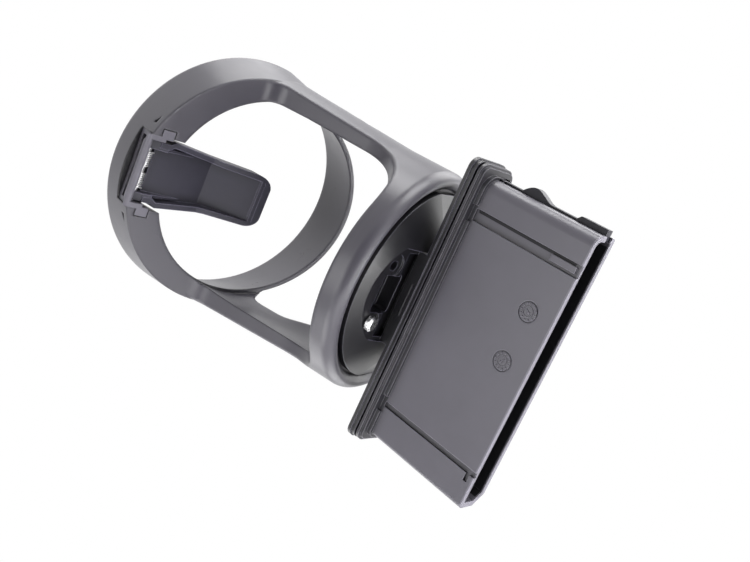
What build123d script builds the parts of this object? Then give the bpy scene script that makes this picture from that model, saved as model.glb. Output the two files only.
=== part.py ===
"""Plug-in car cup holder: a basket with a slanted ring on a flat plug."""
import os
from math import atan2, cos, hypot, radians, sin, sqrt, tan

from build123d import *

# Cup ring, a flared bowl between two slanted planes
ring_slope = 20.0
ring_low = 63.6
ring_tall = 18.9
ring_drop = 3.4
mouth_x = 38.9
mouth_y = 36.4
mouth_shift = -0.1
rim_x = 44.8
rim_y = 43.0
rim_shift = -4.2
wall_low = (8.1, 7.3)
wall_low_shift = -5.3
wall_top = (2.9, 4.7)
wall_top_shift = -0.6
back_wall = 1.9
back_slope = 24.6
ring_round = 1.8
gusset_x = 21.0
gusset_in = 2.4

# Base of the basket
base_inner_r = 36.6
base_wall = 4.7
base_wall_z = 3.7
floor_thick = 2.4
lip_in = 5.6
lip_low = -5.6
crest_in = 3.5
crest_out = 2.5
crest_lead = (-0.1, -1)
flank_z = -1.8
gap_z = -4.0

# Arms between ring and base
arm_front = -11.0
arm_back = 8.6
arm_in_round = 8.0
arm_foot_round = 21.0
arm_back_round = 5.0
arm_edge_round = 1.2
arm_top_z = 66.6
arm_foot_z = 16.6
arm_foot_out = 0.3
arm_lean = 3.5
inner_lean = 2.2
inner_shift = 1.9
inner_top_z = 50.6
flare_top_z = 43.6
flare = [(11.2, 35.1), (16.0, 23.6), (24.0, 13.1), (34.0, 6.1)]

# Head under the base
disc_fit = 0.8
disc_flat_in = 0.7
disc_edge = -5.4
cone_low = -16.4
cone_slope = 1.85
seat_edge = 9.9
seat_y = 10.0
seat_z = -8.9
seat_r = 4.1
boss_r = 3.4
boss_fit = 0.25
boss_low = -6.9
boss_root = 0.5
screw_hole_r = 1.7
screw_pilot_r = 1.3
screw_head_r = 2.7
screw_head_tall = 1.9
screw_head_edge = 0.7
screw_top = -1.0
screw_tip_gap = 0.2
cross_long = 2.6
cross_wide = 0.6
cross_deep = 1.0
window_out = 2.0
window_long = 10.5
window_half = 6.6
window_top = -4.2
window_corner = 1.2

# Plug, tilted away from the cup axis
plug_tilt = 12.1
plug_x = -8.6
plug_z = -22.4
plate_w = 101.3
plate_t = 19.3
plate_u = -6.8
plate_tall = 2.8
plate_step = 0.5
plate_corner = 3.6
neck_half = 16.3
neck_mid = 7.3
neck_mid_back = 0.8
neck_back = 8.0
neck_tall = 3.1
neck_slot_half = 15.0
neck_slot_x = (-20.2, -13.0)
neck_slot_deep = 1.9
tongue_w = 56.0
tongue_t = 5.0
tongue_u = 7.0
flange_w = 100.2
flange_t = 18.4
flange_u = -3.2
flange_tall = 2.0
flange_step = 0.9
throat_w = 95.8
throat_t = 14.0
sleeve_w = 92.8
sleeve_t = 11.4
sleeve_u = 40.4
sleeve_wall = 1.8
sleeve_round = 4.0
sleeve_tight = 1.5
sleeve_edge = 1.2
sleeve_cut = 4.0
web_u = 0.8
collar_out = 1.1
collar_u = 0.3
collar_notch = (5.6, 2.6)
channel_y = 34.5
channel_wide = 4.0
channel_thin = 1.8
channel_deep = 0.9
channel_block = (30.0, 39.0)
hook_u = (37.2, 38.6)
hook_y = 38.0
clock_at = [(31.6, -17.2), (31.2, -0.3)]
clock_r = 3.3
clock_line = 0.4
clock_deep = 0.25

# Side latch in the narrow wall of the sleeve
latch_w = (0.3, 3.3)
latch_gap = 0.3
latch_root = 6.0
latch_deep = 1.6
latch_proud = 0.7
latch_u = (1.6, 39.6)
latch_bump = [(8.5, 0.0), (11.0, 2.0), (12.6, 2.5), (14.4, 2.2), (20.0, 0.0)]
latch_end_u = 29.0
latch_end_out = 1.2
latch_end_ramp = 1.2
latch_slot_half = 3.8
latch_pin_u = 34.5
latch_pin_in = 0.9
latch_pin_r = 0.6
latch_pin_fit = 0.05
latch_pin_end = 0.8
latch_bearing = 1.0

# Bracket pocket, bracket, hinge and flap
pocket_half = 13.2
pocket_up = 8.3
pocket_deep = 17.9
tab_half = 16.0
tab_in = (5.05, 9.85)
tab_up = 3.0
tab_fit = 0.3
mark_y = 18.0
mark_up = 3.6
mark_long = 2.8
mark_tall = 1.8
mark_deep = 1.2
bracket_from = 2.3
bracket_deep = 4.9
roof_deep = 7.5
bracket_wall = 1.8
bracket_roof = 1.5
ridge_r = 1.2
ridge_from = 2.55
ridge_up = 1.2
hinge_from = 5.85
hinge_up = 4.15
pin_r = 1.1
pin_fit = 0.04
knuckle_r = 2.2
knuckle_y = (8.0, 11.0)
flap_root = 3.0
flap_root_half = 11.0
flap_out_half = 12.2
flap_out = (4.8, 6.4)
flap_mid_half = 10.2
flap_tip_half = 9.9
flap_up = 6.1
flap_knee = 23.8
flap_reach = 40.0
flap_drop = 20.0
flap_deep = 4.8
flap_tip_deep = 4.8
flap_skin = 1.5
flap_wall = 2.0
flap_lip = (1.2, 1.6)
flap_corner = 4.6
flap_hollow_back = 2.0
rib_from = 4.6
rib_to = 17.0
rib_deep = 2.4
rib_thin = 1.0
coil_r = 1.75
wire_r = 0.36
wire_sides = 5
coil_in = 1.2
coil_long = 5.2
coil_turns = 5.25
leg_angle = 166.0
leg_long = 6.0
leg_short = 1.4

slope = tan(radians(ring_slope))
floor_low = -floor_thick
base_r = base_inner_r + base_wall
arm_foot_r = base_r + arm_foot_out
arm_top_r = arm_foot_r + arm_lean
lip_r = base_r - lip_in
disc_r = lip_r - disc_fit
disc_flat = disc_r - disc_flat_in
seat_x = seat_edge - disc_r
window_x = (seat_x - window_out, seat_x - window_out + window_long)
tilt = radians(plug_tilt)
insert_dir = (-sin(tilt), 0, -cos(tilt))
thick_dir = (cos(tilt), 0, -sin(tilt))
plug_plane = Plane((plug_x, 0, plug_z), x_dir=(0, 1, 0), z_dir=insert_dir)
side_plane = Plane((plug_x, 0, plug_z), x_dir=insert_dir, z_dir=thick_dir)
lean = radians(ring_slope)
along = cos(lean)
ring_x_dir = (along, 0, -sin(lean))
ring_z_dir = (sin(lean), 0, along)
ring_plane = Plane((0, 0, ring_low), x_dir=ring_x_dir, z_dir=ring_z_dir)
ring_low_plane = ring_plane.offset(-ring_drop)
ring_top_plane = ring_plane.offset(ring_tall)
outer_low_x = mouth_x + wall_low[0]
outer_low_shift = mouth_shift + wall_low_shift
front_x = (outer_low_shift - outer_low_x) * along
pocket_in = front_x / along + pocket_deep
tab_x = (front_x + tab_in[0], front_x + tab_in[1])
bracket_out = front_x + bracket_from
bracket_in = bracket_out + bracket_deep
roof_in = bracket_out + roof_deep
ridge_x = front_x + ridge_from
hinge_x = front_x + hinge_from
hinge_z = ring_low - slope * hinge_x + hinge_up / along
ridge_z = ring_low - slope * ridge_x + ridge_up / along
flap_knee_x = hinge_x + flap_knee
flap_tip = (hinge_x + flap_reach, hinge_z - flap_drop)
half_w = sleeve_w / 2
half_t = sleeve_t / 2
latch_in = latch_deep - half_w
latch_out = -latch_proud - half_w
latch_end_y = latch_out - latch_end_out
latch_pin_y = latch_pin_in - half_w
latch_wave = [(u, latch_out - out) for u, out in latch_bump]
far = 60.0
above = 125.0
outer_from = base_r - arm_edge_round / 2
back_fall = tan(radians(back_slope))
back_top = ring_low - slope * arm_back
back_low_z = back_top - back_fall * (arm_top_r - arm_back)
back_far_z = back_top - back_fall * (far - arm_back)

os.makedirs("parts", exist_ok=True)

# Inside of the ring
with BuildPart() as mouth:
    with BuildSketch(ring_low_plane):
        with Locations((mouth_shift, 0)):
            Ellipse(mouth_x, mouth_y)
    with BuildSketch(ring_top_plane):
        with Locations((rim_shift, 0)):
            Ellipse(rim_x, rim_y)
    loft(ruled=True)

# The same form grown by the thin back wall
with BuildPart() as back_outside:
    with BuildSketch(ring_low_plane):
        with Locations((mouth_shift, 0)):
            Ellipse(mouth_x + back_wall, mouth_y + back_wall)
    with BuildSketch(ring_top_plane):
        with Locations((rim_shift, 0)):
            Ellipse(rim_x + back_wall, rim_y + back_wall)
    loft(ruled=True)

# Flared ring, trimmed along its slanted plane and lower behind the arms
with BuildPart() as ring_body:
    with BuildSketch(ring_low_plane):
        with Locations((outer_low_shift, 0)):
            Ellipse(outer_low_x, mouth_y + wall_low[1])
    with BuildSketch(ring_top_plane):
        with Locations((rim_shift + wall_top_shift, 0)):
            Ellipse(rim_x + wall_top[0], rim_y + wall_top[1])
    loft(ruled=True)
    fillet(ring_body.faces().sort_by(Axis(ring_plane.origin, ring_z_dir))[-1].edges(), ring_round)
    add(mouth.part, mode=Mode.SUBTRACT)
    with BuildSketch(Plane.XZ):
        with BuildLine():
            Polyline(
                (-far, ring_low + slope * far),
                (arm_back, back_top),
                (far, back_far_z),
                (-far, back_far_z),
                close=True,
            )
        make_face()
    extrude(amount=far, both=True, mode=Mode.SUBTRACT)

# Cutter that thins the ring behind the arms and leaves two gussets
with BuildPart() as back_cutter:
    with BuildSketch(Plane.XY.offset(back_low_z)):
        with Locations((arm_back + far / 2, 0)):
            Rectangle(far, 2 * far)
        with BuildLine():
            gusset_y = mouth_y * sqrt(1 - (gusset_x / mouth_x / along) ** 2)
            Polyline(
                (arm_back, gusset_in - arm_top_r),
                (arm_back, arm_top_r - gusset_in),
                (gusset_x, gusset_y),
                (gusset_x, -gusset_y),
                close=True,
            )
        make_face(mode=Mode.SUBTRACT)
    extrude(amount=above)
    add(back_outside.part, mode=Mode.SUBTRACT)

# Front opening between base, arms and ring
with BuildPart() as front_opening:
    with BuildSketch(Plane.XZ) as front_view:
        with BuildLine():
            Polyline(
                (-far, base_wall_z),
                (arm_front, base_wall_z),
                (arm_front, ring_low - slope * arm_front),
                (-far, ring_low + slope * far),
                close=True,
            )
        make_face()
        corners = front_view.vertices().group_by(Axis.X)[-1].sort_by(Axis.Y)
        fillet(corners[0], arm_foot_round)
        corners = front_view.vertices().group_by(Axis.X)[-1].sort_by(Axis.Y)
        fillet(corners[-1], arm_in_round)
    extrude(amount=far, both=True)

# Back opening with the flared feet of the arms
with BuildPart() as back_opening:
    with BuildSketch(Plane.XZ) as back_view:
        with BuildLine():
            flare_ends = ((arm_back, flare_top_z), (far, base_wall_z))
            Spline(flare_ends[0], *flare, flare_ends[1], tangents=[(0, -1), (1, 0)])
            Polyline(flare_ends[0], (arm_back, back_top), (far, back_far_z), flare_ends[1])
        make_face()
        fillet(back_view.vertices().sort_by_distance((arm_back, back_top))[0], arm_back_round)
    extrude(amount=far, both=True)

# Cup basket: ring, arms and base in one moulding
with BuildPart() as cup_basket:
    with BuildSketch(Plane.XZ):
        with BuildLine():
            Polyline(
                (base_r - crest_out, lip_low),
                (base_r - crest_in, lip_low),
                (lip_r, gap_z),
                (lip_r, floor_low),
                (0, floor_low),
                (0, above),
                (arm_top_r, above),
                (arm_top_r, arm_top_z),
                (arm_foot_r, arm_foot_z),
                (base_r, flank_z),
            )
            TangentArc((base_r, flank_z), (base_r - crest_out, lip_low), tangent=crest_lead)
        make_face()
    revolve(axis=Axis.Z)
    with BuildSketch(Plane.XY):
        Circle(base_inner_r)
    with BuildSketch(Plane.XY.offset(inner_top_z)):
        with Locations((inner_shift, 0)):
            Circle(base_inner_r + inner_lean)
    loft(mode=Mode.SUBTRACT)
    with BuildSketch(Plane.XY.offset(inner_top_z)):
        with Locations((inner_shift, 0)):
            Circle(base_inner_r + inner_lean)
    extrude(amount=above, mode=Mode.SUBTRACT)
    add(front_opening.part, mode=Mode.SUBTRACT)
    outer_edges = cup_basket.edges(Select.LAST).filter_by(
        lambda e: hypot((e @ 0.5).X, (e @ 0.5).Y) > outer_from
    )
    fillet(outer_edges, arm_edge_round)
    with BuildSketch(ring_plane.offset(ring_tall / 2)):
        Rectangle(4 * far, 4 * far)
    extrude(amount=above, mode=Mode.SUBTRACT)
    add(ring_body.part)
    add(mouth.part, mode=Mode.SUBTRACT)
    add(back_opening.part, mode=Mode.SUBTRACT)
    add(back_cutter.part, mode=Mode.SUBTRACT)
    # Pocket for the flap bracket with its two side notches
    with BuildSketch(ring_plane):
        with Locations(((pocket_in - far) / 2, 0)):
            Rectangle(far + pocket_in, 2 * pocket_half)
    extrude(amount=pocket_up, mode=Mode.SUBTRACT)
    with BuildSketch(ring_plane):
        with Locations(((tab_x[0] + tab_x[1]) / 2 / along, 0)):
            Rectangle((tab_x[1] - tab_x[0]) / along, 2 * tab_half)
    extrude(amount=tab_up, mode=Mode.SUBTRACT)
    # Three-cornered marks in the outer wall beside the pocket
    mark_x = outer_low_shift - outer_low_x * sqrt(1 - (mark_y / (mouth_y + wall_low[1])) ** 2) + mark_deep
    mark_at = ring_plane.from_local_coords((mark_x, 0, mark_up))
    with BuildSketch(Plane(mark_at, x_dir=(0, 1, 0), z_dir=ring_x_dir)):
        with BuildLine():
            Polyline(
                (mark_y - mark_long / 2, mark_tall / 2),
                (mark_y - mark_long / 2, -mark_tall / 2),
                (mark_y + mark_long / 2, -mark_tall / 2),
                close=True,
            )
        make_face()
        mirror(about=Plane.YZ)
    extrude(amount=-far, mode=Mode.SUBTRACT)
    # Screw bosses under the floor
    with BuildSketch(Plane.XY.offset(boss_low)):
        with Locations((seat_x, seat_y), (seat_x, -seat_y)):
            Circle(boss_r)
    extrude(amount=floor_low - boss_low + boss_root)
    with BuildSketch(Plane.XY.offset(boss_low)):
        with Locations((seat_x, seat_y), (seat_x, -seat_y)):
            Circle(screw_pilot_r)
    extrude(amount=screw_top - boss_low, mode=Mode.SUBTRACT)

# Black head: disc, funnel, neck, front plate and tongue
with BuildPart() as base_head:
    with BuildSketch(Plane.XY.offset(disc_edge)):
        Circle(disc_r)
        Rectangle(4 * disc_r, 2 * disc_flat, mode=Mode.INTERSECT)
    extrude(amount=floor_low - disc_edge)
    with BuildSketch(Plane.XZ):
        with BuildLine():
            Polyline(
                (0, disc_edge),
                (disc_r, disc_edge),
                (disc_r + cone_slope * (cone_low - disc_edge), cone_low),
                (0, cone_low),
                close=True,
            )
        make_face()
    revolve(axis=Axis.Z)
    # Flat facets down the two sides of the funnel
    with BuildSketch(Plane.YZ):
        with BuildLine():
            Polyline(
                (disc_flat, disc_edge),
                (disc_flat + cone_slope * (cone_low - disc_edge), cone_low),
                (2 * disc_r, cone_low),
                (2 * disc_r, disc_edge),
                close=True,
            )
        make_face()
        mirror(about=Plane.YZ)
    extrude(amount=2 * disc_r, both=True, mode=Mode.SUBTRACT)
    # Everything below the top of the tilted plate is trimmed off
    with BuildSketch(plug_plane.offset(plate_u)):
        Rectangle(4 * disc_r, 4 * disc_r)
    extrude(amount=far, mode=Mode.SUBTRACT)
    # Clear space in front of the neck, then the neck with its stepped front
    with BuildSketch(plug_plane.offset(plate_u)):
        with Locations((0, -plate_t)):
            Rectangle(2 * neck_half, plate_t)
    extrude(amount=-neck_tall, mode=Mode.SUBTRACT)
    with BuildSketch(plug_plane.offset(plate_u)):
        with Locations((0, (neck_back - plate_t / 2) / 2)):
            Rectangle(2 * neck_half, neck_back + plate_t / 2)
        with Locations((0, -plate_t / 2)):
            Rectangle(2 * neck_mid, 2 * neck_mid_back, mode=Mode.SUBTRACT)
    extrude(amount=-neck_tall)
    with BuildSketch(Plane.XY.offset(seat_z)):
        with Locations(((neck_slot_x[0] + neck_slot_x[1]) / 2, 0)):
            Rectangle(neck_slot_x[1] - neck_slot_x[0], 2 * neck_slot_half)
    extrude(amount=-neck_slot_deep, mode=Mode.SUBTRACT)
    # Deep window between the screw seats
    with BuildSketch(Plane.XY.offset(cone_low)):
        with Locations(((window_x[0] + window_x[1]) / 2, 0)):
            RectangleRounded(window_x[1] - window_x[0], 2 * window_half, window_corner)
    extrude(amount=window_top - cone_low, mode=Mode.SUBTRACT)
    # Screw seats, pockets for the bosses and holes
    with BuildSketch(Plane.XY.offset(seat_z)):
        with Locations((seat_x, seat_y), (seat_x, -seat_y)):
            Circle(seat_r)
    extrude(amount=-far, mode=Mode.SUBTRACT)
    with BuildSketch(Plane.XY.offset(boss_low)):
        with Locations((seat_x, seat_y), (seat_x, -seat_y)):
            Circle(boss_r + boss_fit)
    extrude(amount=far, mode=Mode.SUBTRACT)
    with BuildSketch(Plane.XY.offset(seat_z)):
        with Locations((seat_x, seat_y), (seat_x, -seat_y)):
            Circle(screw_hole_r)
    extrude(amount=far, mode=Mode.SUBTRACT)
    # Front plate in two steps and the tongue that enters the sleeve
    with BuildSketch(plug_plane.offset(plate_u)):
        RectangleRounded(plate_w, plate_t, plate_corner)
    extrude(amount=plate_tall / 2)
    with BuildSketch(plug_plane.offset(plate_u + plate_tall / 2)):
        RectangleRounded(plate_w - 2 * plate_step, plate_t - 2 * plate_step, plate_corner - plate_step)
    extrude(amount=plate_tall / 2)
    with BuildSketch(plug_plane.offset(plate_u + plate_tall)):
        Rectangle(tongue_w, tongue_t)
    extrude(amount=tongue_u - plate_u - plate_tall)

# One screw from below, the other seat is an open socket
with BuildPart() as base_screws:
    with BuildSketch(Plane.XY.offset(seat_z)):
        with Locations((seat_x, seat_y)):
            Circle(screw_head_r)
    extrude(amount=-screw_head_tall)
    chamfer(base_screws.faces().sort_by(Axis.Z)[0].edges(), screw_head_edge)
    with BuildSketch(Plane.XY.offset(seat_z)):
        with Locations((seat_x, seat_y)):
            Circle(screw_pilot_r)
    extrude(amount=screw_top - seat_z - screw_tip_gap)
    with BuildSketch(Plane.XY.offset(seat_z - screw_head_tall)):
        with Locations((seat_x, seat_y)):
            Rectangle(cross_long, cross_wide)
            Rectangle(cross_wide, cross_long)
    extrude(amount=cross_deep, mode=Mode.SUBTRACT)

# Hollow sleeve with flange, collar rib and channels
flange_low = flange_u + flange_tall
with BuildSketch() as sleeve_outline:
    Rectangle(sleeve_w, sleeve_t)
    corner = sleeve_outline.vertices().group_by(Axis.X)[0].sort_by(Axis.Y)[0]
    fillet(corner, sleeve_round)
    corner = sleeve_outline.vertices().group_by(Axis.X)[-1].sort_by(Axis.Y)[0]
    fillet(corner, sleeve_tight)
    corner = sleeve_outline.vertices().group_by(Axis.Y)[-1].sort_by(Axis.X)[-1]
    chamfer(corner, sleeve_cut)
    corner = sleeve_outline.vertices().group_by(Axis.Y)[-1].sort_by(Axis.X)[0]
    fillet(corner, sleeve_edge)

with BuildPart() as plug_sleeve:
    with BuildSketch(plug_plane.offset(plate_u + plate_tall)):
        Rectangle(throat_w, throat_t)
    extrude(amount=flange_u - plate_u - plate_tall)
    with BuildSketch(plug_plane.offset(flange_u)):
        RectangleRounded(flange_w, flange_t, plate_corner)
    extrude(amount=flange_tall / 2)
    with BuildSketch(plug_plane.offset(flange_u + flange_tall / 2)):
        RectangleRounded(flange_w - 2 * flange_step, flange_t - 2 * flange_step, plate_corner - flange_step)
    extrude(amount=flange_tall / 2)
    with BuildSketch(plug_plane.offset(flange_low)):
        add(sleeve_outline.sketch)
    extrude(amount=sleeve_u - flange_low)
    with BuildSketch(plug_plane.offset(flange_low)):
        offset(sleeve_outline.sketch, collar_out)
        with Locations((-channel_y, -half_t), (channel_y, -half_t)):
            Rectangle(*collar_notch, mode=Mode.SUBTRACT)
        with Locations((-half_w - collar_out, (latch_w[0] + latch_w[1]) / 2)):
            Rectangle(2 * collar_out, latch_root, mode=Mode.SUBTRACT)
    extrude(amount=collar_u - flange_low)
    with BuildSketch(plug_plane.offset(web_u)):
        offset(sleeve_outline.sketch, -sleeve_wall)
    extrude(amount=sleeve_u, mode=Mode.SUBTRACT)
    with BuildSketch(plug_plane.offset(plate_u)):
        Rectangle(tongue_w, tongue_t)
    extrude(amount=web_u - plate_u, mode=Mode.SUBTRACT)
    # Guide channels on the broad face
    with BuildSketch(plug_plane.offset(collar_u)):
        with Locations((-channel_y, -half_t)):
            Rectangle(channel_wide, 2 * channel_deep)
        with Locations((channel_y, -half_t)):
            Rectangle(channel_thin, 2 * channel_deep)
    extrude(amount=sleeve_u, mode=Mode.SUBTRACT)
    with BuildSketch(plug_plane.offset(channel_block[0])):
        with Locations((-channel_y, -half_t + channel_deep / 2)):
            Rectangle(channel_wide / 2, channel_deep)
    extrude(amount=channel_block[1] - channel_block[0])
    with BuildSketch(plug_plane.offset(hook_u[0])):
        with Locations(((channel_y + hook_y) / 2, -half_t)):
            Rectangle(hook_y - channel_y, 2 * channel_deep)
    extrude(amount=hook_u[1] - hook_u[0], mode=Mode.SUBTRACT)
    # Two plain round mould marks
    with BuildSketch(side_plane.offset(-half_t)):
        with Locations(*clock_at):
            Circle(clock_r)
            Circle(clock_r - clock_line, mode=Mode.SUBTRACT)
    extrude(amount=clock_deep, mode=Mode.SUBTRACT)
    # Fixed root, slot and bearing for the side latch
    with BuildSketch(side_plane.offset(latch_w[0])):
        with Locations(((flange_low + latch_u[0] - latch_gap) / 2, (latch_out - half_w) / 2)):
            Rectangle(latch_u[0] - latch_gap - flange_low, -latch_out - half_w)
    extrude(amount=latch_w[1] - latch_w[0])
    with BuildSketch(side_plane.offset(latch_w[0] - latch_gap)):
        with Locations(((latch_u[0] + sleeve_u) / 2, -half_w)):
            Rectangle(sleeve_u - latch_u[0] + 2 * latch_gap, 2 * latch_slot_half)
    extrude(amount=latch_w[1] - latch_w[0] + 2 * latch_gap, mode=Mode.SUBTRACT)
    with BuildSketch(side_plane.offset(latch_w[0] - latch_gap - latch_bearing)):
        with Locations((latch_pin_u, latch_pin_y)):
            Circle(latch_pin_r + latch_pin_fit)
    extrude(amount=latch_w[1] - latch_w[0] + 2 * (latch_gap + latch_bearing), mode=Mode.SUBTRACT)

# Sprung latch with its bump and end piece
with BuildPart() as side_latch:
    with BuildSketch(side_plane.offset(latch_w[0])):
        with BuildLine():
            Polyline((latch_u[0], latch_out), latch_wave[0])
            bump = Spline(*latch_wave)
            Polyline(
                latch_wave[-1],
                (latch_end_u, latch_out),
                (latch_end_u + latch_end_ramp, latch_end_y),
                (latch_u[1], latch_end_y),
                (latch_u[1], latch_in),
                (latch_u[0], latch_in),
                (latch_u[0], latch_out),
            )
        make_face()
    extrude(amount=latch_w[1] - latch_w[0])
    with BuildSketch(side_plane.offset(latch_w[0] - latch_gap - latch_pin_end)):
        with Locations((latch_pin_u, latch_pin_y)):
            Circle(latch_pin_r)
    extrude(amount=latch_w[1] - latch_w[0] + 2 * (latch_gap + latch_pin_end))

# Bracket that snaps into the pocket of the ring
with BuildPart() as flap_bracket:
    with BuildSketch(ring_plane):
        with Locations(((bracket_out + bracket_in) / 2 / along, 0)):
            Rectangle((bracket_in - bracket_out) / along, 2 * pocket_half)
    extrude(amount=pocket_up)
    with BuildSketch(ring_plane):
        with Locations(((tab_x[0] + tab_x[1]) / 2 / along, 0)):
            Rectangle((tab_x[1] - tab_x[0]) / along - 2 * tab_fit, 2 * (tab_half - tab_fit))
        with Locations((bracket_in / along + far / 2, 0)):
            Rectangle(far, 2 * (flap_out_half + tab_fit), mode=Mode.SUBTRACT)
    extrude(amount=tab_up)
    with BuildSketch(ring_plane):
        with Locations((-far / 2, 0)):
            Rectangle(2 * far, 2 * (pocket_half - bracket_wall))
    extrude(amount=pocket_up - bracket_roof, mode=Mode.SUBTRACT)
    with BuildSketch(ring_plane.offset(pocket_up - bracket_roof)):
        with Locations(((bracket_out + roof_in) / 2 / along, 0)):
            Rectangle((roof_in - bracket_out) / along, 2 * pocket_half)
    extrude(amount=bracket_roof)
    with BuildSketch(Plane.XZ):
        with Locations((hinge_x, hinge_z)):
            Circle(pin_r)
    extrude(amount=far, both=True, mode=Mode.SUBTRACT)
    with BuildSketch(Plane.XZ):
        with Locations((ridge_x, ridge_z)):
            Circle(ridge_r)
    extrude(amount=pocket_half, both=True)

# Steel hinge pin
with BuildPart() as hinge_pin:
    with BuildSketch(Plane.XZ):
        with Locations((hinge_x, hinge_z)):
            Circle(pin_r)
    extrude(amount=pocket_half, both=True)

# Inside of the flap
root_x = hinge_x + flap_root
hollow_x = root_x - flap_hollow_back
lip_x = flap_tip[0] - flap_wall - flap_lip[0]
flap_top = ring_low + flap_up / along
root_top = (root_x, flap_top - slope * root_x)
knee_top = (flap_knee_x, flap_top - slope * flap_knee_x)
fall = (flap_tip[0] - knee_top[0], flap_tip[1] - knee_top[1])
fall_angle = atan2(fall[1], fall[0])
tip_low = (flap_tip[0], flap_tip[1] - flap_tip_deep)
knee_turn = (fall_angle - lean) / 2
knee_low = (knee_top[0] + flap_deep * sin(knee_turn), knee_top[1] - flap_deep * cos(knee_turn))
root_low = (root_x - flap_deep * sin(lean), root_top[1] - flap_deep * cos(lean))
plan = [
    (hinge_x, flap_root_half),
    (hinge_x + flap_out[0], flap_root_half),
    (hinge_x + flap_out[1], flap_out_half),
    (flap_knee_x, flap_mid_half),
    (flap_tip[0], flap_tip_half),
]
with BuildPart() as flap_hollow:
    with BuildSketch(Plane.XZ):
        with BuildLine():
            Polyline(
                (hollow_x, flap_top - slope * hollow_x - flap_skin),
                (knee_top[0], knee_top[1] - flap_skin),
                (lip_x, flap_tip[1] - flap_skin),
                (lip_x, flap_tip[1] - flap_skin - flap_lip[1]),
                (lip_x + flap_lip[0], flap_tip[1] - flap_skin - flap_lip[1]),
                (lip_x + flap_lip[0], flap_tip[1] - far),
                (hollow_x, flap_tip[1] - far),
                close=True,
            )
        make_face()
    extrude(amount=far, both=True)
    with BuildSketch(Plane.XY) as inner_plan:
        with BuildLine():
            near_side = [(x, y - flap_wall) for x, y in plan]
            Polyline(*near_side, *[(x, -y) for x, y in near_side[::-1]], close=True)
        make_face()
        fillet(inner_plan.vertices().group_by(Axis.X)[-1], flap_corner - flap_wall)
    extrude(amount=above, mode=Mode.INTERSECT)

# Hollow flap, bent at the knee, with its hinge barrels
with BuildPart() as flap:
    with BuildSketch(Plane.XZ) as side_view:
        with BuildLine():
            Polyline(root_top, knee_top, flap_tip, tip_low, knee_low, root_low, close=True)
        make_face()
    extrude(amount=far, both=True)
    with BuildSketch(Plane.XY) as outer_plan:
        with BuildLine():
            Polyline(*plan, *[(x, -y) for x, y in plan[::-1]], close=True)
        make_face()
        fillet(outer_plan.vertices().group_by(Axis.X)[-1], flap_corner)
    extrude(amount=above, mode=Mode.INTERSECT)
    add(flap_hollow.part, mode=Mode.SUBTRACT)

    # Tapered ribs behind the hinge barrels
    rib_x = (hinge_x + rib_from, hinge_x + rib_to)
    with BuildSketch(Plane.XZ.offset(-knuckle_y[0] - rib_thin)):
        with BuildLine():
            Polyline(
                (rib_x[0], flap_top - slope * rib_x[0] - flap_skin / 2),
                (rib_x[1], flap_top - slope * rib_x[1] - flap_skin / 2),
                (rib_x[1], flap_top - slope * rib_x[1] - flap_skin),
                (rib_x[0], flap_top - slope * rib_x[0] - flap_skin - rib_deep),
                close=True,
            )
        make_face()
    extrude(amount=rib_thin)
    mirror(about=Plane.XZ)
    # Hinge barrels on the side walls
    with BuildSketch(Plane.XZ.offset(-knuckle_y[1])) as barrel:
        with Locations((hinge_x, hinge_z)):
            Circle(knuckle_r)
        with BuildLine():
            Polyline(
                (hinge_x + knuckle_r * sin(lean), hinge_z + knuckle_r * cos(lean)),
                (hinge_x - knuckle_r * sin(lean), hinge_z - knuckle_r * cos(lean)),
                (root_low[0] + flap_root, root_low[1] - slope * flap_root),
                (root_top[0] + flap_root, root_top[1] - slope * flap_root),
                close=True,
            )
        make_face()
        with Locations((hinge_x, hinge_z)):
            Circle(pin_r + pin_fit, mode=Mode.SUBTRACT)
    extrude(amount=knuckle_y[1] - knuckle_y[0])
    mirror(about=Plane.XZ)

# One torsion spring, coiled about its own axis with a long and a short leg
with BuildPart() as spring_coil:
    with BuildLine() as coil_path:
        Helix(coil_long / coil_turns, coil_long, coil_r)
    with BuildSketch(Plane(coil_path.line @ 0, z_dir=coil_path.line % 0)):
        RegularPolygon(wire_r, wire_sides)
    sweep(path=coil_path.line, is_frenet=True)
    with BuildSketch(Plane(coil_path.line @ 0, z_dir=-(coil_path.line % 0))):
        RegularPolygon(wire_r, wire_sides)
    extrude(amount=leg_long)
    with BuildSketch(Plane(coil_path.line @ 1, z_dir=coil_path.line % 1)):
        RegularPolygon(wire_r, wire_sides)
    extrude(amount=leg_short)

# The pair of springs on the pin
leg_turn = lean + radians(leg_angle)
spring_plane = Plane(
    (hinge_x, -coil_in - coil_long, hinge_z),
    x_dir=(sin(leg_turn), 0, cos(leg_turn)),
    z_dir=(0, 1, 0),
)
with BuildPart() as spring_left:
    with Locations(spring_plane.location):
        add(spring_coil.part)
with BuildPart() as spring_right:
    add(spring_left.part)
    mirror(about=Plane.XZ, mode=Mode.REPLACE)

cup_basket.part.label = "cup_basket"
export_step(cup_basket.part, "parts/cup_basket.step")
base_head.part.label = "base_head"
export_step(base_head.part, "parts/base_head.step")
base_screws.part.label = "base_screws"
export_step(base_screws.part, "parts/base_screws.step")
plug_sleeve.part.label = "plug_sleeve"
export_step(plug_sleeve.part, "parts/plug_sleeve.step")
side_latch.part.label = "side_latch"
export_step(side_latch.part, "parts/side_latch.step")
flap_bracket.part.label = "flap_bracket"
export_step(flap_bracket.part, "parts/flap_bracket.step")
flap.part.label = "flap"
export_step(flap.part, "parts/flap.step")
hinge_pin.part.label = "hinge_pin"
export_step(hinge_pin.part, "parts/hinge_pin.step")
spring_left.part.label = "spring_left"
export_step(spring_left.part, "parts/spring_left.step")
spring_right.part.label = "spring_right"
export_step(spring_right.part, "parts/spring_right.step")
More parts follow.
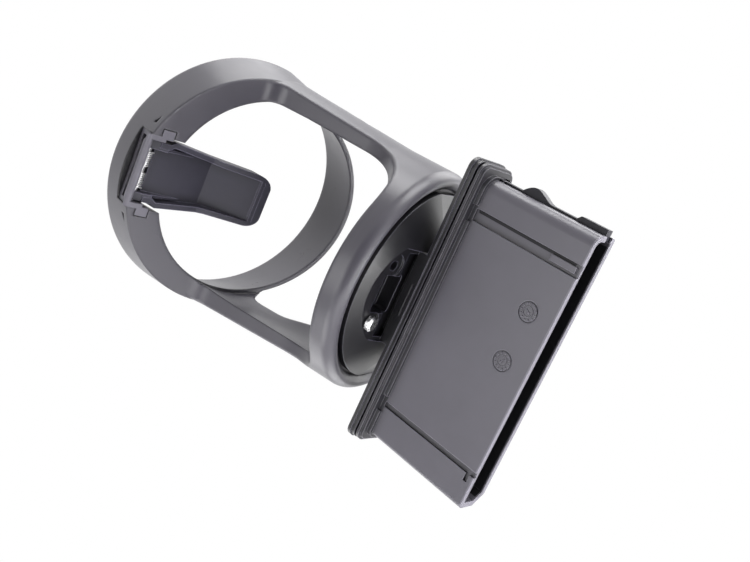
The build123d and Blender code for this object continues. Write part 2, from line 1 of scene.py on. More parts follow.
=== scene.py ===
# %% [markdown]
# A car cup holder, dressed for a studio picture.
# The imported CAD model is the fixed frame: its solids already have their real shape and place.
# This lesson adds what CAD does not carry: moulded plastic finishes, round spring wire, a plated screw,
# mould marks, soft studio light and the camera.

# %% Load the frame
from math import cos, pi, radians, sin

import bpy
from mathutils import Matrix, Vector


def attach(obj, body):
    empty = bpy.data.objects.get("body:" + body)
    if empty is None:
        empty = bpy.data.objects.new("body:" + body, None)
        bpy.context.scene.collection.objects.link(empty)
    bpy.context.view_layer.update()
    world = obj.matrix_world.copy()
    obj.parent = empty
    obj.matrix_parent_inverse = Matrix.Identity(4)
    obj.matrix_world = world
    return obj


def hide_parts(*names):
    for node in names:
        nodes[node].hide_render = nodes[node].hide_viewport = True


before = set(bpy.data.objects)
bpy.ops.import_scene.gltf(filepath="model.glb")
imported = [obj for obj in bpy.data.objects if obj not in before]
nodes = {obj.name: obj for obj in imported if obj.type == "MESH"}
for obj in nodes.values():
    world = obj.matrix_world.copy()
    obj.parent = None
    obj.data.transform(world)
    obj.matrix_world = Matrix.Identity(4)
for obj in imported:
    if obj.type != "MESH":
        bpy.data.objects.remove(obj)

scene = bpy.context.scene
scene.view_settings.view_transform = "Standard"
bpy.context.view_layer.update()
MM = 0.001
print("nodes:", ", ".join(sorted(nodes)))

# %% [markdown]
# The camera stands below the front of the holder and is rolled, so the cup axis runs from lower right
# to upper left. A camera can be aimed with a constraint, but a roll is easier to state outright:
# the direction of view and the direction of the picture's right edge give all three axes.

# %% Camera
CAMERA_AT = Vector((-261.5, -68.4, -116.4)) * MM
LOOK = Vector((0.8771, 0.2438, 0.4137)).normalized()
RIGHT = Vector((0.4795, -0.3970, -0.7826))
SENSOR = 36.0
LENS = 41.09
CLIP_NEAR = 5 * MM

across = (RIGHT - LOOK * RIGHT.dot(LOOK)).normalized()
up = across.cross(LOOK)
camera = bpy.data.objects.new("camera", bpy.data.cameras.new("camera"))
scene.collection.objects.link(camera)
camera.matrix_world = Matrix.Translation(CAMERA_AT) @ Matrix((across, up, -LOOK)).transposed().to_4x4()
camera.data.sensor_width = SENSOR
camera.data.lens = LENS
camera.data.clip_start = CLIP_NEAR
scene.camera = camera
print("camera looks along", [round(v, 3) for v in LOOK])

# %% [markdown]
# Shader graphs get long when every Math node is wired by hand.
# A small class that wraps one socket and overloads the operators lets the maths read as plain Python:
# an expression such as 1 - mask adds its own Math node.

# %% Socket maths
class Wire:
    """One output socket that takes part in shader maths."""

    def __init__(self, finish, socket):
        self.finish = finish
        self.socket = socket

    def maths(self, operation, first, second):
        return self.finish.node("ShaderNodeMath", {"operation": operation}, {0: first, 1: second})

    def __add__(self, other):
        return self.maths("ADD", self, other)

    __radd__ = __add__

    def __sub__(self, other):
        return self.maths("SUBTRACT", self, other)

    def __rsub__(self, other):
        return self.maths("SUBTRACT", other, self)

    def __mul__(self, other):
        return self.maths("MULTIPLY", self, other)

    __rmul__ = __mul__

    def most(self, other):
        return self.maths("MAXIMUM", self, other)

    def below(self, limit):
        return self.maths("LESS_THAN", self, limit)

    def size(self):
        return self.maths("ABSOLUTE", self, 0.0)


print("socket maths ready")

# %% [markdown]
# Every other node comes from one method, which takes the node's type, its settings and its sockets.
# Settings go first, because some of them, such as the data type of a Mix node, change which sockets are used.
# Noise, colour blends and dot products are needed again and again, so each gets a short function.

# %% Node trees
def set_stops(ramp, stops):
    """Gives a colour ramp its stops, each a place from 0 to 1 and a colour."""
    while len(ramp.elements) < len(stops):
        ramp.elements.new(1.0)
    for element, (place, colour) in zip(ramp.elements, stops):
        element.position = place
        element.color = (*colour, 1.0)


class Finish:
    """A node tree with one method that adds any node."""

    def __init__(self, tree):
        self.tree = tree
        tree.nodes.clear()

    def node(self, kind, settings=None, sockets=None, out=0):
        """Adds a node and gives one output of it as a wire; a socket takes a value or a wire."""
        made = self.tree.nodes.new(kind)
        for name, value in (settings or {}).items():
            if name == "stops":
                set_stops(made.color_ramp, value)
            else:
                setattr(made, name, value)
        for name, value in (sockets or {}).items():
            if isinstance(value, Wire):
                self.tree.links.new(value.socket, made.inputs[name])
            else:
                made.inputs[name].default_value = value
        return Wire(self, made.outputs[out]) if len(made.outputs) else None


def new_finish(name):
    material = bpy.data.materials.new(name)
    material.use_nodes = True
    return material, Finish(material.node_tree)


def noise(finish, place, scale, detail):
    return finish.node("ShaderNodeTexNoise", {}, {"Vector": place, "Scale": scale, "Detail": detail})


def blend(finish, share, first, second):
    """Two colours mixed; sockets 0, 6 and 7 of the node are its factor and its two colours."""
    return finish.node("ShaderNodeMix", {"data_type": "RGBA"}, {0: share, 6: first, 7: second}, out=2)


def dot(finish, first, second):
    return finish.node("ShaderNodeVectorMath", {"operation": "DOT_PRODUCT"}, {0: first, 1: second},
                       out="Value")


print("node trees ready")

# %% [markdown]
# The plug leans by a few degrees, so places on it are given in its own frame: u runs down the plug,
# y runs across it, and out points from its broad face to the camera. The CAD uses the same frame.

# %% Plug frame
PLUG_TILT = radians(12.1)
PLUG_AT = Vector((-8.6, 0, -22.4))
PLUG_U = Vector((-sin(PLUG_TILT), 0, -cos(PLUG_TILT)))
PLUG_OUT = Vector((-cos(PLUG_TILT), 0, sin(PLUG_TILT)))
SLEEVE_HALF = 5.7


def on_plug(u, y, out):
    """A point in mm, given in the frame of the plug."""
    return PLUG_AT + PLUG_U * u + Vector((0, y, 0)) + PLUG_OUT * out


print("plug leans by", round(PLUG_TILT, 3), "radians")

# %% [markdown]
# Moulded plastic is never one flat value. The mould's grain breaks up the highlight, the resin flows
# unevenly so the shade drifts a little across a wall, and handling leaves faint dull patches.
# Painted maps would need every wall unwrapped. Noise needs no unwrap, so all three come from noise in
# object coordinates, which for a CAD node are metres in the shared frame.
# A Bevel node softens the hard CAD edges, so they catch the light as a moulded edge does.
# Where its normal leaves the face's own normal there is an edge, and edges get a painted highlight: their
# colour is made paler.
# Ambient Occlusion finds the slots and corners, and their colour is darkened there as painted shade.

# %% Moulded plastic
GREY_TINT = (0.965, 0.92, 1.115)
BLACK_TINT = (0.91, 0.86, 1.23)
# painted shade: slots and corners are blended towards this black
PAINTED_SHADE_BLACK = (0.006, 0.006, 0.007, 1.0)
FLOW_SCALE, PATCH_SCALE, SPECK_SCALE = 28.0, 160.0, 2600.0
NOISE_LOW, NOISE_MID, NOISE_HIGH = 0.25, 0.5, 0.75
FLOW_SHARE = 0.65
PATCH_DULL = 0.16
SPECK_DULL = 0.10
# painted highlight: the share of the paler edge colour on the sleeve's open end
END_HIGHLIGHT_SHARE = 0.35
EDGE_RAYS = 6


def moulded(name, shade, drift, rough, grain, edge, tint=GREY_TINT, spec=0.5,
            hollow=4.0, painted_shade_depth=0.6, edge_highlight=0.0, edge_highlight_shade=0.35, painted_shade_where=None, highlight_where=None):
    """A plastic finish: shade and its drift, roughness, grain height in mm and edge radius in mm.
    Slots narrower than hollow mm get painted shade, by the depth amount, and edges get a painted highlight,
    by the edge gain. The two zone functions find more painted shade and painted highlight by place."""
    material, finish = new_finish(name)
    place = finish.node("ShaderNodeTexCoord", out="Object")
    flow = noise(finish, place, FLOW_SCALE, detail=3.0)
    patch = noise(finish, place, PATCH_SCALE, detail=4.0)
    speck = noise(finish, place, SPECK_SCALE, detail=2.0)
    low = [shade * (1 - drift) * t for t in tint]
    high = [shade * (1 + drift) * t for t in tint]
    stops = [(NOISE_LOW, low), (NOISE_HIGH, high)]
    mottle = flow * FLOW_SHARE + patch * (1 - FLOW_SHARE)
    colour = finish.node("ShaderNodeValToRGB", {"stops": stops}, {0: mottle})
    open_air = finish.node("ShaderNodeAmbientOcclusion", {"samples": EDGE_RAYS}, {"Distance": hollow * MM},
                           out="AO")
    # painted shade: the colour is darkened towards black in slots and corners that Ambient Occlusion finds,
    # and in the zones found by place
    painted_shade = (1 - open_air * open_air) * painted_shade_depth
    if painted_shade_where:
        painted_shade = painted_shade.most(painted_shade_where(finish, place))
    colour = blend(finish, painted_shade, colour, PAINTED_SHADE_BLACK)
    soft_edge = finish.node("ShaderNodeBevel", {"samples": EDGE_RAYS}, {"Radius": edge * MM})
    if edge_highlight:
        face = finish.node("ShaderNodeNewGeometry", out="Normal")
        # painted highlight: edges, and the sleeve's open end, are made paler in colour
        painted_highlight = (1 - dot(finish, soft_edge, face)) * open_air * edge_highlight
        if highlight_where:
            painted_highlight = painted_highlight.most(highlight_where(finish, place) * END_HIGHLIGHT_SHARE)
        colour = blend(finish, painted_highlight, colour, (*[edge_highlight_shade * t for t in tint], 1.0))
    dull = rough + (patch - NOISE_MID) * PATCH_DULL + (speck - NOISE_MID) * SPECK_DULL
    bump = finish.node("ShaderNodeBump", {}, {"Strength": 1.0, "Distance": grain * MM,
                                              "Height": speck, "Normal": soft_edge})
    shader = finish.node("ShaderNodeBsdfPrincipled", {}, {"Base Color": colour, "Roughness": dull,
                                                          "Specular IOR Level": spec, "Normal": bump})
    finish.node("ShaderNodeOutputMaterial", {}, {"Surface": shader})
    return material


print("plastic recipe ready")

# %% [markdown]
# Some zones are found by place. The sleeve's inside, the stack of narrow steps above it and the pocket that
# the hinge bracket snaps into get painted shade: their colour is darker where shade falls. The sleeve's open
# end gets a painted highlight: its colour is paler where the light falls on it. Zones could be painted on the
# mesh, but a CAD mesh is never changed here, so plain comparisons of coordinates find each zone.

# %% Zones
STACK_U = 0.34
INSIDE_OUT = 4.3
INSIDE_Y = 43.5
END_U = 39.9
RING_LEAN = radians(20)
RING_AT = Vector((0, 0, 63.6))
RING_UP = Vector((sin(RING_LEAN), 0, cos(RING_LEAN)))
POCKET_Y = 13.3
POCKET_FROM, POCKET_TO = 0.3, 8.45
POCKET_X = -31.0
ACROSS_Y = Vector((0, 1, 0))
FRONT_X = Vector((1, 0, 0))
# painted shade: how far each zone's colour is darkened towards black
STACK_PAINTED_SHADE, INSIDE_PAINTED_SHADE, POCKET_PAINTED_SHADE = 0.78, 0.97, 0.85


def measure(finish, place, axis, start):
    """Metres along an axis from a start point given in mm."""
    return dot(finish, place, tuple(axis)) - start.dot(axis) * MM


def sleeve_painted_shade(finish, place):
    """Nearly 1 in the hollow of the sleeve and on the steps above it, where shade is painted."""
    stack = measure(finish, place, PLUG_U, PLUG_AT).below(STACK_U * MM)
    flat = measure(finish, place, PLUG_OUT, PLUG_AT).size().below(INSIDE_OUT * MM)
    narrow = measure(finish, place, ACROSS_Y, PLUG_AT).size().below(INSIDE_Y * MM)
    return (stack * STACK_PAINTED_SHADE).most(flat * narrow * INSIDE_PAINTED_SHADE)


def sleeve_end_highlight(finish, place):
    """1 on the open end of the sleeve, where a highlight is painted."""
    return 1 - measure(finish, place, PLUG_U, PLUG_AT).below(END_U * MM)


def pocket_painted_shade(finish, place):
    """Nearly 1 on the walls of the bracket's pocket, where shade is painted."""
    high = measure(finish, place, RING_UP, RING_AT)
    band = high.below(POCKET_TO * MM) * (1 - high.below(POCKET_FROM * MM))
    near = measure(finish, place, ACROSS_Y, RING_AT).size().below(POCKET_Y * MM)
    front = measure(finish, place, FRONT_X, RING_AT).below(POCKET_X * MM)
    return band * near * front * POCKET_PAINTED_SHADE


print("zones ready")

# %% [markdown]
# Now the finishes of this object: satin grey for the basket, the sleeve and the bracket, near-black plastics
# for the head, the flap and the catch, and a near-black painted shade for the slot beside the guide channel.

# %% Plastic finishes
# The hollow and zone arguments below paint shade into the colour, and the edge arguments paint highlights.
basket_grey = moulded("basket_grey", shade=0.100, drift=0.06, rough=0.32, grain=0.008, edge=1.2,
                      spec=0.55, painted_shade_where=pocket_painted_shade)
sleeve_grey = moulded("sleeve_grey", shade=0.150, drift=0.08, rough=0.34, grain=0.006, edge=0.4,
                      spec=0.6, hollow=5.0, painted_shade_depth=0.8, edge_highlight=2.2, edge_highlight_shade=0.46,
                      painted_shade_where=sleeve_painted_shade, highlight_where=sleeve_end_highlight)
head_black = moulded("head_black", shade=0.008, drift=0.20, rough=0.34, grain=0.026, edge=0.35,
                     tint=BLACK_TINT, spec=0.7, edge_highlight=2.4, edge_highlight_shade=0.32)
flap_black = moulded("flap_black", shade=0.055, drift=0.14, rough=0.46, grain=0.006, edge=0.7,
                     tint=BLACK_TINT, spec=0.4, edge_highlight=2.6, edge_highlight_shade=0.30)
latch_black = moulded("latch_black", shade=0.030, drift=0.12, rough=0.40, grain=0.006, edge=0.4,
                      tint=BLACK_TINT, spec=0.3)
bracket_grey = moulded("bracket_grey", shade=0.180, drift=0.08, rough=0.34, grain=0.008, edge=0.5,
                       painted_shade_depth=0.8)
# painted shade: a near-black finish for the strip that stands for the unlit bottom of the slot
slot_painted_shade = moulded("slot_painted_shade", shade=0.012, drift=0.20, rough=0.45, grain=0.006, edge=0.1,
                     tint=BLACK_TINT, spec=0.3)
print("plastic finishes made")

# %% [markdown]
# Spring wire and the plated screw are metal. Wire is drawn through a die, which leaves fine marks on it,
# and plating is a little cloudy. Both need a high metallic value and a roughness that varies.

# %% Bright steel
CLOUD_SCALE, MARK_SCALE = 900.0, 5200.0
CLOUD_LOW, CLOUD_HIGH = 0.3, 0.7
CLOUD_DIM = 0.82
CLOUD_DULL = 0.2
STEEL_COOL = 1.02


def bright_steel(name, shade, rough, mark):
    """A steel finish: shade, roughness and the height of its fine marks in mm."""
    material, finish = new_finish(name)
    place = finish.node("ShaderNodeTexCoord", out="Object")
    cloud = noise(finish, place, CLOUD_SCALE, detail=3.0)
    marks = noise(finish, place, MARK_SCALE, detail=1.0)
    low = [shade * CLOUD_DIM] * 3
    high = [shade, shade, shade * STEEL_COOL]
    stops = [(CLOUD_LOW, low), (CLOUD_HIGH, high)]
    colour = finish.node("ShaderNodeValToRGB", {"stops": stops}, {0: cloud})
    bump = finish.node("ShaderNodeBump", {}, {"Strength": 1.0, "Distance": mark * MM, "Height": marks})
    dull = rough + (cloud - NOISE_MID) * CLOUD_DULL
    shader = finish.node("ShaderNodeBsdfPrincipled", {}, {"Base Color": colour, "Metallic": 1.0,
                                                          "Roughness": dull, "Normal": bump})
    finish.node("ShaderNodeOutputMaterial", {}, {"Surface": shader})
    return material


spring_steel = bright_steel("spring_steel", shade=0.72, rough=0.30, mark=0.004)
screw_steel = bright_steel("screw_steel", shade=0.85, rough=0.25, mark=0.005)
print("steel finishes made")

# %% [markdown]
# Each CAD node keeps its mesh and takes a finish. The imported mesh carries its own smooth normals,
# so round walls look round while corners stay crisp.

# %% Dress the CAD nodes
FINISH_OF = {
    "cup_basket": basket_grey,
    "base_head": head_black,
    "base_screws": screw_steel,
    "plug_sleeve": sleeve_grey,
    "side_latch": latch_black,
    "flap_bracket": bracket_grey,
    "flap": flap_black,
    "hinge_pin": spring_steel,
    "spring_left": spring_steel,
    "spring_right": spring_steel,
}
for name, material in FINISH_OF.items():
    mesh = nodes[name].data
    mesh.materials.clear()
    mesh.materials.append(material)
print("dressed", len(FINISH_OF), "nodes")

# %% [markdown]
# Round wire could be a section swept along a path, but a curve does that by itself: its bevel gives the
# thickness, and its line may turn as it likes. The helper turns the curve into a mesh, so that the wire
# can be shaded smooth as any other piece is.

# %% Round wire
WIRE_ROUND = 3


def round_wire(name, points, radius):
    """A round wire through points in mm."""
    curve = bpy.data.curves.new(name, "CURVE")
    curve.dimensions = "3D"
    curve.bevel_depth = radius * MM
    curve.bevel_resolution = WIRE_ROUND
    curve.use_fill_caps = True
    spline = curve.splines.new("POLY")
    spline.points.add(len(points) - 1)
    for point, place in zip(spline.points, points):
        point.co = (*(Vector(place) * MM), 1)
    draft = bpy.data.objects.new(name + "_draft", curve)
    scene.collection.objects.link(draft)
    mesh = bpy.data.meshes.new_from_object(draft.evaluated_get(bpy.context.evaluated_depsgraph_get()))
    bpy.data.objects.remove(draft)
    mesh.name = name
    made = bpy.data.objects.new(name, mesh)
    scene.collection.objects.link(made)
    mesh.shade_smooth()
    return made


print("round wire ready")

# %% [markdown]
# The flap is pushed out by two torsion springs of round wire on the hinge pin. The CAD wire has few sides,
# to keep the part light, so a smooth wire along the same coil and legs takes its place.
# The coil is wound closer, as in the real spring, and its legs end short of the flap, which swings past them.

# %% Springs
HINGE = Vector((-43.39, 0, 83.809))
COIL_R = 1.75
COIL_FROM = 1.2
COIL_LONG = 5.2
COIL_TURNS = 7.25
WIRE_R = 0.26
LEG_TURN = RING_LEAN + radians(166)
LONG_LEG = 1.2
SHORT_LEG = 1.4
STEPS = 28


def spring_points(side):
    """The coil from its long leg to its short leg; side is -1 for the left spring and 1 for the right."""
    first = Vector((sin(LEG_TURN), 0, cos(LEG_TURN)))
    second = Vector((cos(LEG_TURN), 0, -sin(LEG_TURN)))
    count = round(COIL_TURNS * STEPS)
    coil = []
    for k in range(count + 1):
        angle = 2 * pi * k / STEPS
        along = COIL_FROM + COIL_LONG * (1 - k / count)
        round_axis = (first * cos(angle) + second * sin(angle)) * COIL_R
        coil.append(HINGE + round_axis + Vector((0, side * along, 0)))
    start = (coil[0] - coil[1]).normalized() * LONG_LEG
    end = (coil[-1] - coil[-2]).normalized() * SHORT_LEG
    return [coil[0] + start, *coil, coil[-1] + end]


for name, side in (("spring_left", -1), ("spring_right", 1)):
    spring = round_wire(name + "_wire", spring_points(side), WIRE_R)
    spring.data.materials.append(spring_steel)
    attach(spring, "holder")
    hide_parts(name)
    print(spring.name, len(spring.data.polygons), "faces")

# %% [markdown]
# Small raised shapes are drawn as outlines and pulled up with a little draft, the way a mould cuts them.
# One helper builds them into a mesh: it takes the outline in a flat frame, and makes the top smaller
# than the foot so that the sides slope and catch the light.

# %% Raised shapes
import bmesh


def raise_shape(shapes, frame_of, outline, high, draft=0.75, sink=0.05):
    """Adds one outline, in mm in a flat frame, as a raised pad with sloping sides."""
    middle = sum((Vector(p) for p in outline), Vector((0, 0))) / len(outline)
    foot = [shapes.verts.new(frame_of(x, y, -sink) * MM) for x, y in outline]
    top = []
    for p in outline:
        x, y = middle + (Vector(p) - middle) * draft
        top.append(shapes.verts.new(frame_of(x, y, high) * MM))
    shapes.faces.new(top)
    shapes.faces.new(foot[::-1])
    for k in range(len(outline)):
        after = (k + 1) % len(outline)
        shapes.faces.new((foot[k], foot[after], top[after], top[k]))


def finish_shapes(shapes, name, material, body):
    """Turns the shapes into one piece that rides on a body."""
    bmesh.ops.recalc_face_normals(shapes, faces=shapes.faces)
    mesh = bpy.data.meshes.new(name)
    shapes.to_mesh(mesh)
    shapes.free()
    made = bpy.data.objects.new(name, mesh)
    scene.collection.objects.link(made)
    mesh.materials.append(material)
    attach(made, body)
    print(name, len(mesh.polygons), "faces")


print("raised shapes ready")

# %% [markdown]
# Two round mould inserts leave their mark on the broad face of the sleeve: a circle, which the CAD has as a
# groove, with short ticks round its edge, a thin ring and an arrow that the toolmaker turns.
# They stand up by little more than a tenth of a millimetre. A bump could draw them, but only real faces
# are part of the mesh.

# %% Mould dials
DIALS = ((31.6, -17.2), (31.2, -0.3))  # u and y of each middle
DIAL_TICKS = 12
DIAL_HIGH = 0.14
TICK = (2.1, 2.9, 0.2)  # near end, far end and half width
RING_PARTS = 20
RING_EDGES = (1.5, 1.72)  # inner and outer radius
ARROW_TURN, ARROW_NEXT = 35, 80
ARROW_BAR = (-1.0, 0.4, 0.2)  # as for a tick
ARROW_HEAD = ((0, 1.2), (1.25, 0.7), (-1.25, 0.7))  # turn in radians and distance of each corner


def ray_bar(angle, near, far, half):
    """A narrow bar that points away from the middle."""
    out = Vector((cos(angle), sin(angle)))
    side = Vector((-sin(angle), cos(angle))) * half
    return [out * near - side, out * far - side, out * far + side, out * near + side]


def ring_part(angle, near, far, sweep):
    """One piece of a thin ring."""
    ends = (angle, angle + sweep)
    inner = [Vector((cos(k), sin(k))) * near for k in ends]
    outer = [Vector((cos(k), sin(k))) * far for k in ends]
    return [inner[0], outer[0], outer[1], inner[1]]


def dial_frame(dial_u, dial_y):
    """The flat frame of one dial, on the broad face of the sleeve."""
    def on_dial(x, y, high):
        return on_plug(dial_u + x, dial_y + y, SLEEVE_HALF + high)

    return on_dial


for number, middle in enumerate(DIALS):
    on_dial = dial_frame(*middle)
    dial = bmesh.new()
    for tick in range(DIAL_TICKS):
        raise_shape(dial, on_dial, ray_bar(2 * pi * tick / DIAL_TICKS, *TICK), DIAL_HIGH)
    sweep = 2 * pi / RING_PARTS
    for part in range(RING_PARTS):
        raise_shape(dial, on_dial, ring_part(sweep * part, *RING_EDGES, sweep), DIAL_HIGH, draft=0.97)
    turn = radians(ARROW_TURN + ARROW_NEXT * number)
    raise_shape(dial, on_dial, ray_bar(turn, *ARROW_BAR), DIAL_HIGH, draft=0.85)
    tip = [Vector((cos(turn + k), sin(turn + k))) * r for k, r in ARROW_HEAD]
    raise_shape(dial, on_dial, tip, DIAL_HIGH)
    finish_shapes(dial, f"mould_dial_{number + 1}", sleeve_grey, "holder")

# %% [markdown]
# Along the upper side of the guide channel runs a deep, narrow slot that the light never reaches.
# It could be cut into the channel, but a CAD mesh is never changed here, so a thin dark strip on the
# channel's floor, with tapered ends, stands for its bottom as painted shade.

# %% Channel slot
SLOT_FROM, SLOT_TO = 0.6, 38.6
SLOT_OUTER, SLOT_INNER = -36.42, -35.35
TAPER_FROM, TAPER_TO = 0.3, 0.8
SLOT_HIGH = 0.04
CHANNEL_DEEP = 0.9


def on_channel(x, y, high):
    return on_plug(x, y, SLEEVE_HALF - CHANNEL_DEEP + high)


strip = bmesh.new()
strip_line = [(SLOT_FROM, SLOT_OUTER), (SLOT_TO, SLOT_OUTER),
              (SLOT_TO - TAPER_TO, SLOT_INNER), (SLOT_FROM + TAPER_FROM, SLOT_INNER)]
raise_shape(strip, on_channel, strip_line, SLOT_HIGH, draft=0.99)
finish_shapes(strip, "channel_slot", slot_painted_shade, "holder")

# %% [markdown]
# A stout bar runs across the front of the hinge bracket, in front of the springs.
# The CAD has it as a thin ridge. An oval section swept along the hinge direction, with its ends rounded
# off, gives the full bar. It is flatter than it is tall, so it clears the coils and the turning flap
# and stays inside the CAD box.

# %% Bracket bar
BAR_AT = Vector((-46.69, 0, 82.2))
BAR_FLAT = 1.19
BAR_TALL = 1.6
BAR_HALF = 11.0
BAR_SIDES = 28
BAR_ENDS = ((0.0, 0.55), (0.25, 0.85), (0.7, 1.0))  # inset from the end and share of the section
bar = bmesh.new()
stations = [(-BAR_HALF + inset, scale) for inset, scale in BAR_ENDS]
stations += [(BAR_HALF - inset, scale) for inset, scale in reversed(BAR_ENDS)]
rings = []
for y, scale in stations:
    ring = []
    for k in range(BAR_SIDES):
        angle = 2 * pi * k / BAR_SIDES
        spot = BAR_AT + Vector((cos(angle) * BAR_FLAT * scale, y, sin(angle) * BAR_TALL * scale))
        ring.append(bar.verts.new(spot * MM))
    rings.append(ring)
for low, high in zip(rings, rings[1:]):
    for k in range(BAR_SIDES):
        after = (k + 1) % BAR_SIDES
        face = bar.faces.new((low[k], low[after], high[after], high[k]))
        face.smooth = True
bar.faces.new(rings[0])
bar.faces.new(rings[-1][::-1])
print("bar has", len(rings), "sections")

# %% [markdown]
# An ejector pin pushes the moulding out of its tool, and leaves a small round pad on the bar.
# It is one more raised shape, set on the oval section where the section faces down and to the front.

# %% Ejector pad
PAD_TURN = radians(225)
PAD_Y = -3.1
PAD_R = 0.45
PAD_SIDES = 14
PAD_HIGH, PAD_SINK = 0.08, 0.12
pad_foot = BAR_AT + Vector((cos(PAD_TURN) * BAR_FLAT, PAD_Y, sin(PAD_TURN) * BAR_TALL))
pad_out = Vector((cos(PAD_TURN) / BAR_FLAT, 0, sin(PAD_TURN) / BAR_TALL)).normalized()
pad_side = pad_out.cross(ACROSS_Y)


def on_pad(x, y, high):
    return pad_foot + pad_side * x + ACROSS_Y * y + pad_out * high


pad_angles = [2 * pi * k / PAD_SIDES for k in range(PAD_SIDES)]
pad_line = [(cos(angle) * PAD_R, sin(angle) * PAD_R) for angle in pad_angles]
raise_shape(bar, on_pad, pad_line, PAD_HIGH, sink=PAD_SINK)
finish_shapes(bar, "bracket_bar", bracket_grey, "holder")

# %% [markdown]
# The object stands in a white tent. The camera and every mirror-like surface see plain white, which is the
# picture's background. A single white world would also flood every face with the same light, so for diffuse
# light the tent is dim, and dimmest on the camera's side, and the lamps keep their direction.

# %% World
WHITE = (1.0, 1.0, 1.0, 1.0)
TENT_STOPS = [(0.0, (0.02, 0.02, 0.02)), (0.5, (0.06, 0.06, 0.06)), (1.0, (0.12, 0.12, 0.12))]


def seen_rays(finish):
    """1 for what the camera sees, straight or in a mirror or glass, and 0 for light on matt faces."""
    seen = finish.node("ShaderNodeLightPath", out="Is Camera Ray")
    for ray in ("Is Glossy Ray", "Is Transmission Ray"):
        seen = seen.most(finish.node("ShaderNodeLightPath", out=ray))
    return seen


world = bpy.data.worlds.new("tent")
world.use_nodes = True
scene.world = world
tent = Finish(world.node_tree)
facing = dot(tent, tent.node("ShaderNodeTexCoord", out="Generated"), tuple(LOOK))
from_front = facing * 0.5 + 0.5  # -1 to 1 becomes 0 to 1, as a ramp needs
walls = tent.node("ShaderNodeValToRGB", {"stops": TENT_STOPS}, {0: from_front})
colour = blend(tent, seen_rays(tent), walls, WHITE)
sky = tent.node("ShaderNodeBackground", {}, {"Color": colour, "Strength": 1.0})
tent.node("ShaderNodeOutputWorld", {}, {"Surface": sky})
print("world is a white tent")

# %% [markdown]
# A plain pale floor lies well below the plug, under the lamps. It bounces a little light up.
# A real sheet of paper is faintly mottled, so its white comes from noise between two near shades.
# Like the tent it is pale to the camera and to mirrors, and a share of plain diffuse paper takes the shadow.

# %% Floor
FLOOR_Z = -900.0 * MM
FLOOR_R = 1.6
FLOOR_SIDES = 96
FLOOR_PALE = 0.8
PAPER_SCALE = 400.0
PAPER_STOPS = [(0.3, (0.90, 0.90, 0.90)), (0.7, (0.94, 0.94, 0.94))]
bpy.ops.mesh.primitive_circle_add(vertices=FLOOR_SIDES, radius=FLOOR_R, fill_type="NGON",
                                  location=(0, 0, FLOOR_Z))
floor = bpy.context.object
floor.name = "floor"
paper, finish = new_finish("floor_paper")
fibre = noise(finish, finish.node("ShaderNodeTexCoord", out="Object"), PAPER_SCALE, detail=3.0)
shade = finish.node("ShaderNodeValToRGB", {"stops": PAPER_STOPS}, {0: fibre})
cover = finish.node("ShaderNodeBsdfDiffuse", {}, {"Color": shade})
glow = finish.node("ShaderNodeEmission", {}, {"Color": shade, "Strength": 1.0})
both = finish.node("ShaderNodeMixShader", {}, {0: seen_rays(finish) * FLOOR_PALE, 1: cover, 2: glow})
finish.node("ShaderNodeOutputMaterial", {}, {"Surface": both})
floor.data.materials.append(paper)
print("floor laid")

# %% [markdown]
# Black plastic in a white tent looks grey, so photographers hang a dark cloth round the lens.
# Faces that look at the camera then mirror the cloth and stay black, and edges still catch the tent.
# The cloth is a disc behind the camera that the camera itself does not see.

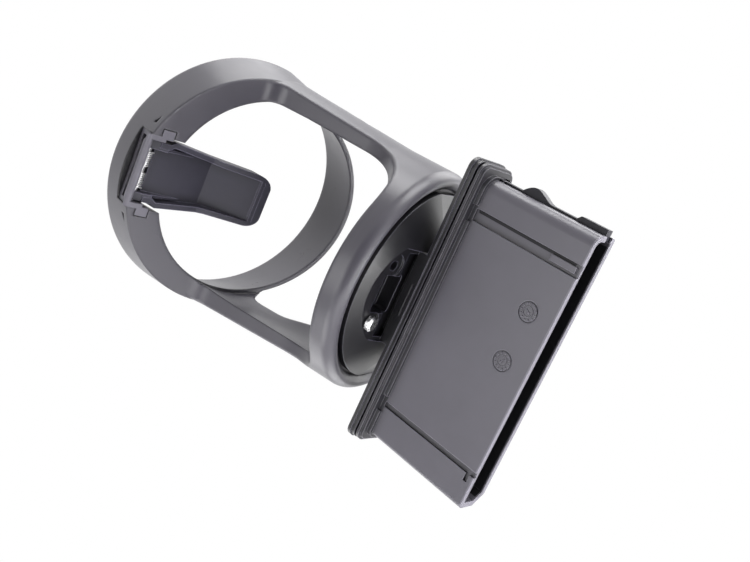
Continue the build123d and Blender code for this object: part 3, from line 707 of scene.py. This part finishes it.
# %% Dark cloth
CLOTH_R = 0.20
CLOTH_SIDES = 64
CLOTH_BEHIND = 0.02
FELT_SCALE = 600.0
FELT_STOPS = [(0.3, (0.010, 0.010, 0.011)), (0.7, (0.016, 0.016, 0.017))]
bpy.ops.mesh.primitive_circle_add(vertices=CLOTH_SIDES, radius=CLOTH_R, fill_type="NGON",
                                  location=CAMERA_AT - LOOK * CLOTH_BEHIND,
                                  rotation=LOOK.to_track_quat("Z", "Y").to_euler())
cloth = bpy.context.object
cloth.name = "dark_cloth"
felt, finish = new_finish("dark_felt")
nap = noise(finish, finish.node("ShaderNodeTexCoord", out="Object"), FELT_SCALE, detail=2.0)
shade = finish.node("ShaderNodeValToRGB", {"stops": FELT_STOPS}, {0: nap})
cover = finish.node("ShaderNodeBsdfDiffuse", {}, {"Color": shade})
finish.node("ShaderNodeOutputMaterial", {}, {"Surface": cover})
cloth.data.materials.append(felt)
cloth.visible_camera = False
print("dark cloth hung")

# %% [markdown]
# The tent is lit from outside by three rows of soft lamps: behind the object, beside it and in front.
# Each lamp is given by its turn round the picture's middle, so the strong ones can be read at once:
# the upper right corner, the lower right and the lower left. Two small lamps draw one sheen each:
# one under the plug for the cone of the head, and one at the top for the foot of the basket.

# %% Lamps
LAMP_AIM = Vector((0, 0, 0.02))


def lamp(name, place, size, watts):
    """A round soft lamp that faces the object."""
    data = bpy.data.lights.new(name, "AREA")
    data.shape = "DISK"
    data.size = size
    data.energy = watts
    made = bpy.data.objects.new(name, data)
    scene.collection.objects.link(made)
    made.location = place
    made.rotation_euler = (LAMP_AIM - place).to_track_quat("-Z", "Y").to_euler()


def toward(right, high, near):
    """A direction in the picture: to its right, to its top and out of it."""
    return (across * right + up * high - LOOK * near).normalized()


LAMP_FAR = 0.65
LAMP_WIDE = 0.40
LAMP_ROWS = (  # the row, how far in front it stands, and watts at each turn in degrees
    ("back", -0.55, {0: 0.72, 45: 1.4, 90: 0.75, 135: 0.2, 225: 0.72, 270: 0.9}),
    ("side", 0.25, {45: 2.6, 225: 1.4, 270: 0.33, 315: 0.7}),
    ("front", 1.0, {0: 0.3, 180: 1.2, 270: 1.0, 315: 1.5}),
)
for row, near, watts_at in LAMP_ROWS:
    for turn, watts in watts_at.items():
        place = toward(cos(radians(turn)), sin(radians(turn)), near) * LAMP_FAR
        lamp(f"{row}_{turn}", place, LAMP_WIDE, watts)
SHEEN_LAMPS = (  # name, direction in the picture, width in metres and watts
    ("under", (0.87, -0.43, 0.26), 0.22, 1.9),
    ("top", (0.09, 0.99, -0.05), 0.30, 1.3),
)
for name, way, wide, watts in SHEEN_LAMPS:
    lamp(name, toward(*way) * LAMP_FAR, wide, watts)
print("lamps lit")
